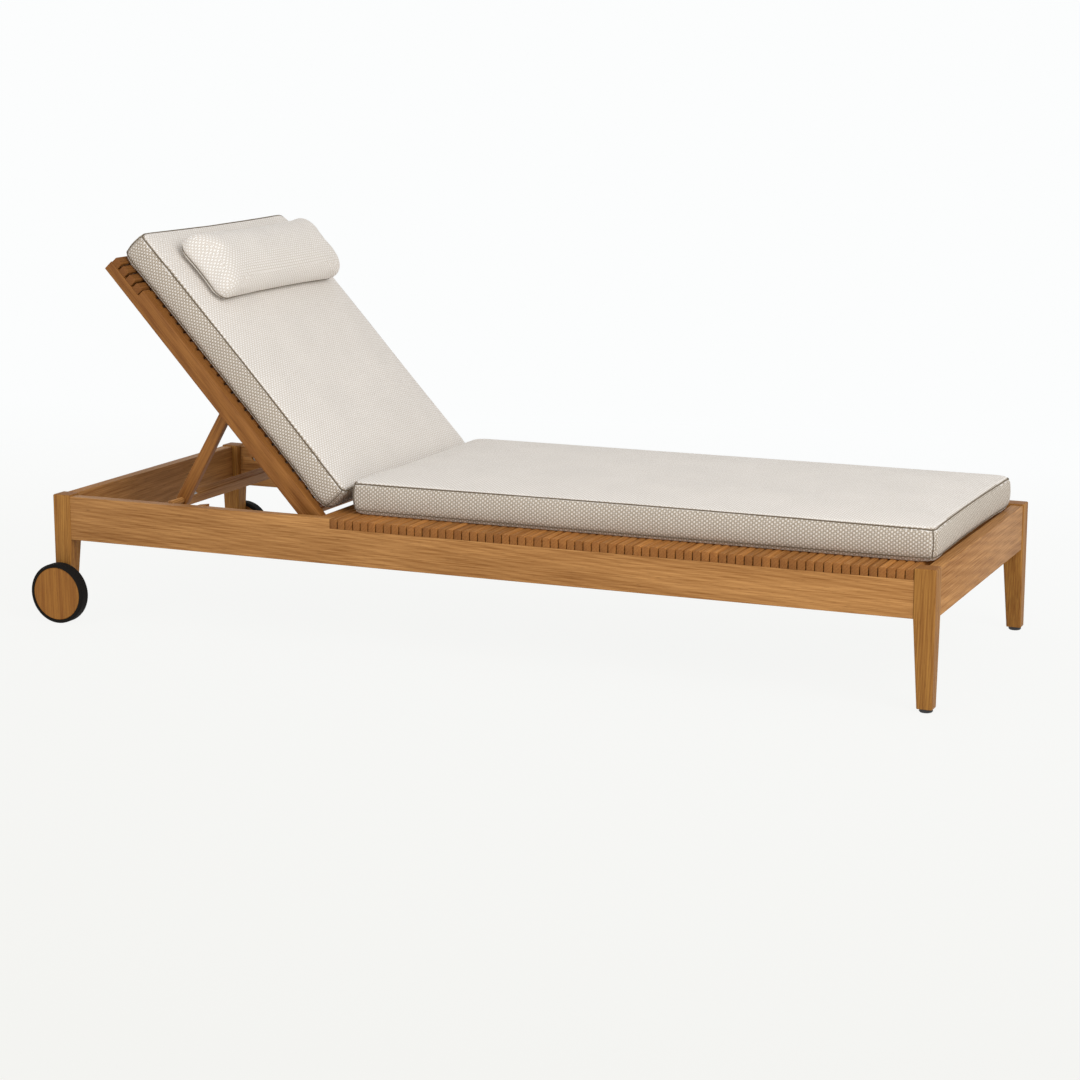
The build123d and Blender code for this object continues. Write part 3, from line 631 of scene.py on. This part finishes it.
def stuff(pad, voxel, held, cap):
    """Remeshes a flat pad and swells it by cloth pressure. held says how fast a point is sewn."""
    only(pad)
    grid = pad.modifiers.new("Even squares", "REMESH")
    grid.mode = "VOXEL"
    grid.voxel_size = voxel
    bpy.ops.object.modifier_apply(modifier=grid.name)
    start = [v.co.copy() for v in pad.data.vertices]
    sewn = pad.vertex_groups.new(name="Sewn")
    for v in pad.data.vertices:
        sewn.add([v.index], held(v.co), "REPLACE")
    cloth = pad.modifiers.new("Stuffing", "CLOTH")
    cloth.settings.quality = 4
    cloth.settings.mass = 0.3
    cloth.settings.tension_stiffness = 15
    cloth.settings.compression_stiffness = 15
    cloth.settings.bending_stiffness = 0.5
    cloth.settings.use_pressure = True
    cloth.settings.uniform_pressure_force = 4
    cloth.settings.effector_weights.gravity = 0
    cloth.settings.vertex_group_mass = "Sewn"
    cloth.collision_settings.use_collision = False
    for step in range(1, STUFFING_FRAMES + 1):
        bpy.context.scene.frame_set(step)
    bpy.ops.object.modifier_apply(modifier=cloth.name)
    for v, was in zip(pad.data.vertices, start):
        move = v.co - was
        if move.length > cap:
            v.co = was + move * (cap / move.length)
    bpy.context.scene.frame_set(1)
    pad.vertex_groups.clear()
    fine = pad.modifiers.new("Finer", "SUBSURF")
    fine.levels = fine.render_levels = 1
    bpy.ops.object.modifier_apply(modifier=fine.name)
    print(pad.name, "has", len(pad.data.polygons), "faces")

# %% [markdown]
# A seam pulls the cloth in along a line. The line is a loop round the pad at a given height, drawn
# close to its side and then moved onto the cloth. The cloth's points near the line are drawn in,
# and a thin cord is laid in the groove. The corner seams of the boxed side are short upright lines,
# made in the same way.

# %% A line on the cloth
def line_on(pad, name, points, closed):
    """A mesh line through these points, shrunk onto the pad."""
    mesh = bpy.data.meshes.new(name)
    edges = [(n, n + 1) for n in range(len(points) - 1)]
    if closed:
        edges.append((len(points) - 1, 0))
    mesh.from_pydata(points, edges, [])
    line = bpy.data.objects.new(name, mesh)
    bpy.context.scene.collection.objects.link(line)
    only(line)
    wrap = line.modifiers.new("On the cloth", "SHRINKWRAP")
    wrap.target = pad
    wrap.wrap_method = "NEAREST_SURFACEPOINT"
    bpy.ops.object.modifier_apply(modifier=wrap.name)
    return line

# %% The outline of a pad at one height
def loop_points(length, width, corner, pull, height):
    """Points round a pad: rounded corners and sides drawn in by pull at their middles."""
    corner_steps, side_steps = 6, 28
    half_x, half_y = length / 2, width / 2
    points = []
    for x_side, y_side, first in ((1, 1, 0), (-1, 1, 90), (-1, -1, 180), (1, -1, 270)):
        centre_x = x_side * (half_x - corner)
        centre_y = y_side * (half_y - corner)
        for step in range(corner_steps + 1):
            turn = radians(first + 90 / corner_steps * step)
            points.append((centre_x + corner * cos(turn), centre_y + corner * sin(turn), height))
        for step in range(1, side_steps):
            share = step / side_steps
            dip = pull * (1 - (2 * share - 1) ** 2)
            if first in (0, 180):
                run = (1 - 2 * share) * (half_x - corner) * x_side
                points.append((run, y_side * (half_y - dip), height))
            else:
                run = (1 - 2 * share) * (half_y - corner) * y_side
                points.append((x_side * (half_x - dip), run, height))
    return points

# %% Draw the cloth in along a seam
def draw_in(pad, line, depth, reach):
    """Moves the cloth inwards near a line, most at the line and nothing at reach."""
    spots_per_edge = 6
    tree = KDTree(len(line.data.vertices) * spots_per_edge)
    spots = []
    for edge in line.data.edges:
        a, b = (line.data.vertices[index].co for index in edge.vertices)
        spots.extend(a.lerp(b, step / spots_per_edge) for step in range(spots_per_edge))
    for index, spot in enumerate(spots):
        tree.insert(spot, index)
    tree.balance()
    outwards = [v.normal.copy() for v in pad.data.vertices]
    for v, out in zip(pad.data.vertices, outwards):
        _, _, distance = tree.find(v.co)
        if distance < reach:
            share = 1 - distance / reach
            v.co -= out * (depth * share * share)

# %% Lay the cord in the groove
def lay_cord(line, radius):
    """Turns a line on the cloth into a thin round cord as a mesh."""
    only(line)
    bpy.ops.object.convert(target="CURVE")
    line.data.bevel_depth = radius
    line.data.bevel_resolution = 1
    line.data.use_fill_caps = True
    bpy.ops.object.convert(target="MESH")
    bpy.ops.object.shade_smooth()
    line.data.materials.clear()
    line.data.materials.append(cord)
    return line

# %% [markdown]
# The cloth's UV map is laid on as a tailor would: the top and the underside straight down, and each
# side straight in, all at real size. Cube projection does that. On a boxed cushion, the faces of
# the sides below the top seam then take the boxed side's cloth, whose darker colours are painted
# shade.

# %% Cut the cloth
def cut_cloth(pad, boxed_to):
    """Lays the UV map at real size, and gives the sides below a height the darker boxed side's
    cloth, as painted shade.
    """
    only(pad)
    pad.data.uv_layers.new(name="Cloth")
    bpy.ops.object.mode_set(mode="EDIT")
    bpy.ops.mesh.select_all(action="SELECT")
    bpy.ops.uv.cube_project(cube_size=1, correct_aspect=False, scale_to_bounds=False)
    bpy.ops.object.mode_set(mode="OBJECT")
    bpy.ops.object.shade_smooth()
    pad.data.materials.clear()
    pad.data.materials.append(top_cloth)
    pad.data.materials.append(side_cloth_painted_shade)
    # Upright faces below the top seam take the darker side cloth: painted shade.
    for face in pad.data.polygons:
        if abs(face.normal.z) < 0.7 and face.center.z < boxed_to:
            face.material_index = 1

# %% Put a finished pad in its place
def lay_down(things, place, body):
    """Moves finished flat pieces to their place on the lounger, and fixes that in their meshes."""
    for thing in things:
        thing.matrix_world = place
        only(thing)
        bpy.ops.object.transform_apply(location=True, rotation=True, scale=True)
        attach(thing, body)

# %% A flat copy of a pad's solid
def flat_copy(solid, name, place):
    """A merged copy of a pad's solid, laid flat at the origin."""
    pad = copy_of(solid, name)
    pad.data.transform(place.inverted())
    return pad

# %% [markdown]
# The seat and back cushions are boxed: a top and a bottom panel joined by a band about 70 mm high,
# with a dark seam along the band's top edge, a second one near its bottom edge, and short upright
# seams at the corners. The top panel and the sides may swell between the seams, and the underside
# is held flat on the slats.

# %% Make a boxed cushion
def boxed_cushion(solid, along, up, body):
    """A boxed cushion with its seams, from its solid."""
    seam_top, seam_low, bulge = 70 * MM, 9 * MM, 2 * MM
    corner, corner_steps = 22 * MM, 6
    place, length, width = bed_of(solid, along, up)
    length, width = length - 2 * bulge, width - 2 * bulge

    def held(co):
        if co.z < 6 * MM:
            return 1.0
        if abs(co.z - seam_low) < 5 * MM or abs(co.z - seam_top) < 4 * MM:
            return 0.9
        return 0.0

    pad = flat_copy(solid, "fabric_" + solid, place)
    stuff(pad, voxel=8 * MM, held=held, cap=6 * MM)
    lines = []
    for name, height in (("top", seam_top), ("low", seam_low)):
        points = loop_points(length, width, corner, pull=5 * MM, height=height)
        lines.append(line_on(pad, f"seam_{solid}_{name}", points, closed=True))
    corner_in = corner * (1 - cos(pi / 4))
    for x_side, y_side in ((1, 1), (-1, 1), (-1, -1), (1, -1)):
        x, y = x_side * (length / 2 - corner_in), y_side * (width / 2 - corner_in)
        points = [
            (x, y, seam_low + (seam_top - seam_low) * step / corner_steps)
            for step in range(corner_steps + 1)
        ]
        ends = f"{'foot' if x_side > 0 else 'head'}_{'far' if y_side > 0 else 'near'}"
        lines.append(line_on(pad, f"seam_{solid}_{ends}", points, closed=False))
    for line in lines:
        draw_in(pad, line, depth=2.2 * MM, reach=7 * MM)
    cut_cloth(pad, boxed_to=seam_top)
    cords = [lay_cord(lines[0], radius=1.4 * MM), lay_cord(lines[1], radius=1.0 * MM)]
    cords += [lay_cord(line, radius=0.9 * MM) for line in lines[2:]]
    lay_down([pad] + cords, place, body)
    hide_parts(solid)
    print(solid, "has", len(cords), "lengths of seam cord")

# %% The seat and back cushions
boxed_cushion("seat_cushion", along_x, along_z, "frame")
boxed_cushion("back_cushion", up_the_back, out_of_back, "backrest")

# %% [markdown]
# The headrest is a plain stuffed pillow: two panels sewn edge to edge, so it is plump in the middle
# and thin at its rim, with one seam round it that shows along its lower edge.

# %% Make the headrest
def headrest():
    """The headrest pillow, with the seam round its rim."""
    rim, inset = 13 * MM, 12 * MM
    place, height, length = bed_of("headrest_pillow", up_the_back, out_of_back)

    def held(co):
        if co.z < 3 * MM:
            return 1.0
        if abs(co.z - rim) < 3 * MM and (abs(co.x) > 60 * MM or abs(co.y) > 240 * MM):
            return 0.9
        return 0.0

    pad = flat_copy("headrest_pillow", "fabric_headrest_pillow", place)
    stuff(pad, voxel=5 * MM, held=held, cap=8 * MM)
    points = loop_points(
        height - inset, length - inset, corner=30 * MM, pull=4 * MM, height=rim,
    )
    line = line_on(pad, "seam_headrest_pillow", points, closed=True)
    draw_in(pad, line, depth=2.5 * MM, reach=9 * MM)
    cut_cloth(pad, boxed_to=0)
    rim_cord = lay_cord(line, radius=0.8 * MM)
    lay_down([pad, rim_cord], place, "backrest")
    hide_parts("headrest_pillow")
    print("the headrest's seam runs", round(rim / MM), "mm over its underside")

headrest()

# %% [markdown]
# The lounger stands on a plain pale floor in soft light. The floor is a matt white that shows a
# faint shadow close to the legs. To the camera it is nearly all its own light, and wholly so
# further out, where it runs into the white background. That glow doesn't light the lounger, because
# only rays that look at the floor directly, in a mirror or through glass can see it.

# %% What is looked at directly
def looked_at(owner):
    """1 for a ray that the eye sees directly, in a mirror or through glass, and 0 for others."""
    path = add_node(owner, "LightPath", {})
    seen = add_node(
        owner, "Math", {0: path["Is Camera Ray"], 1: path["Is Glossy Ray"]}, operation="MAXIMUM",
    )[0]
    return add_node(
        owner, "Math", {0: seen, 1: path["Is Transmission Ray"]}, operation="MAXIMUM",
    )[0]

# %% The floor's material
def studio_floor():
    """The floor's material: a matt white near the lounger that turns to plain white further out."""
    material, surface = new_material("matt white studio floor")
    output = surface.outputs["BSDF"].links[0].to_node
    spot = add_node(material, "TexCoord", {})["Object"]
    far_off = add_node(material, "VectorMath", {0: spot}, operation="LENGTH")["Value"]
    fade = add_node(
        material, "MapRange",
        {"Value": far_off, "From Min": 1.2, "From Max": 3.0, "To Min": 0.96, "To Max": 1},
        interpolation_type="SMOOTHSTEP",
    )[0]
    part = add_node(
        material, "Math", {0: fade, 1: looked_at(material)}, operation="MULTIPLY",
    )[0]
    set_inputs(material, surface, {
        "Base Color": srgb("#F1F0EE"), "Roughness": 0.9, "Specular IOR Level": 0.1,
    })
    # The glow is a little greyer near the camera than further back: painted shade.
    parts = add_node(material, "SeparateXYZ", {0: spot})
    depth = add_node(
        material, "MapRange", {"Value": parts["Y"], "From Min": -2.4, "From Max": 2.5},
    )[0]
    outer = add_node(
        material, "MapRange", {"Value": far_off, "From Min": 4.5, "From Max": 11},
    )[0]
    backdrop_share = add_node(material, "Math", {0: depth, 1: outer}, operation="MAXIMUM")[0]
    white = add_node(
        material, "Mix", {0: backdrop_share, 6: srgb("#F4F4F1"), 7: srgb("#FCFDFD")},
        data_type="RGBA",
    )[2]
    glow = add_node(material, "Emission", {"Color": white, "Strength": 1})[0]
    mixed = add_node(material, "MixShader", {0: part, 1: surface.outputs[0], 2: glow})[0]
    set_inputs(material, output, {"Surface": mixed})
    return material

# %% Floor
floor_radius = 14
bpy.ops.object.select_all(action="DESELECT")
bpy.ops.mesh.primitive_circle_add(
    vertices=96, radius=floor_radius, fill_type="NGON", location=(0, 0, 0),
)
floor_disc = bpy.context.object
floor_disc.name = "floor"
floor_disc.data.materials.append(studio_floor())
print("the floor is", 2 * floor_radius, "m across")

# %% [markdown]
# The world gives an even white light from all round. What the eye sees of it is a plain near-white
# instead, at the strength that renders as it is written. Two large soft lamps then model the form:
# one off the foot end, like a window, and a weaker one in front.

# %% World
room_strength = 0.62
world = bpy.data.worlds.new("Soft white room")
bpy.context.scene.world = world
world.use_nodes = True
world.node_tree.nodes.clear()
room_light = add_node(
    world, "Background", {"Color": srgb("#FFFFFF"), "Strength": room_strength},
)[0]
backdrop = add_node(world, "Background", {"Color": srgb("#FCFDFD"), "Strength": 1})[0]
sky = add_node(world, "MixShader", {0: looked_at(world), 1: room_light, 2: backdrop})[0]
add_node(world, "OutputWorld", {"Surface": sky})
print("the room lights at", room_strength)

# %% Lamps
def soft_lamp(name, place, aim, size, power):
    """A square soft lamp that faces a point."""
    lamp = bpy.data.lights.new(name, "AREA")
    lamp.size = size
    lamp.energy = power
    holder = bpy.data.objects.new(name, lamp)
    bpy.context.scene.collection.objects.link(holder)
    holder.location = place
    holder.rotation_euler = (Vector(aim) - Vector(place)).to_track_quat("-Z", "Y").to_euler()

soft_lamp("window light", (4.4, -2.6, 3.6), aim=(0, 0, 0.3), size=3.2, power=190)
soft_lamp("front fill", (-2.2, -4.6, 2.4), aim=(0, 0, 0.2), size=3.0, power=60)
print(len(bpy.data.lights), "lamps")

# %% [markdown]
# The camera stands a little above the lounger, off its foot end, at the photograph's angle. A long
# lens of about 85 mm keeps the far end from shrinking too much.

# %% Camera
azimuth, elevation, distance = radians(23.5), radians(11.53), 5.764
target = Vector((0.031, 0, 0.196))
reach = Vector((sin(azimuth) * cos(elevation), -cos(azimuth) * cos(elevation), sin(elevation)))
camera = bpy.data.objects.new("camera", bpy.data.cameras.new("camera"))
bpy.context.scene.collection.objects.link(camera)
sensor_width, half_view = 36, radians(12)
camera.data.sensor_width = sensor_width
camera.data.lens = sensor_width / 2 / tan(half_view)
camera.location = target + distance * reach
camera.rotation_euler = (-reach).to_track_quat("-Z", "Y").to_euler()
bpy.context.scene.camera = camera
bpy.context.scene.view_settings.view_transform = "Standard"
print("lens", round(camera.data.lens, 1), "mm")

# %% Bring the scene up to date
bpy.context.view_layer.update()
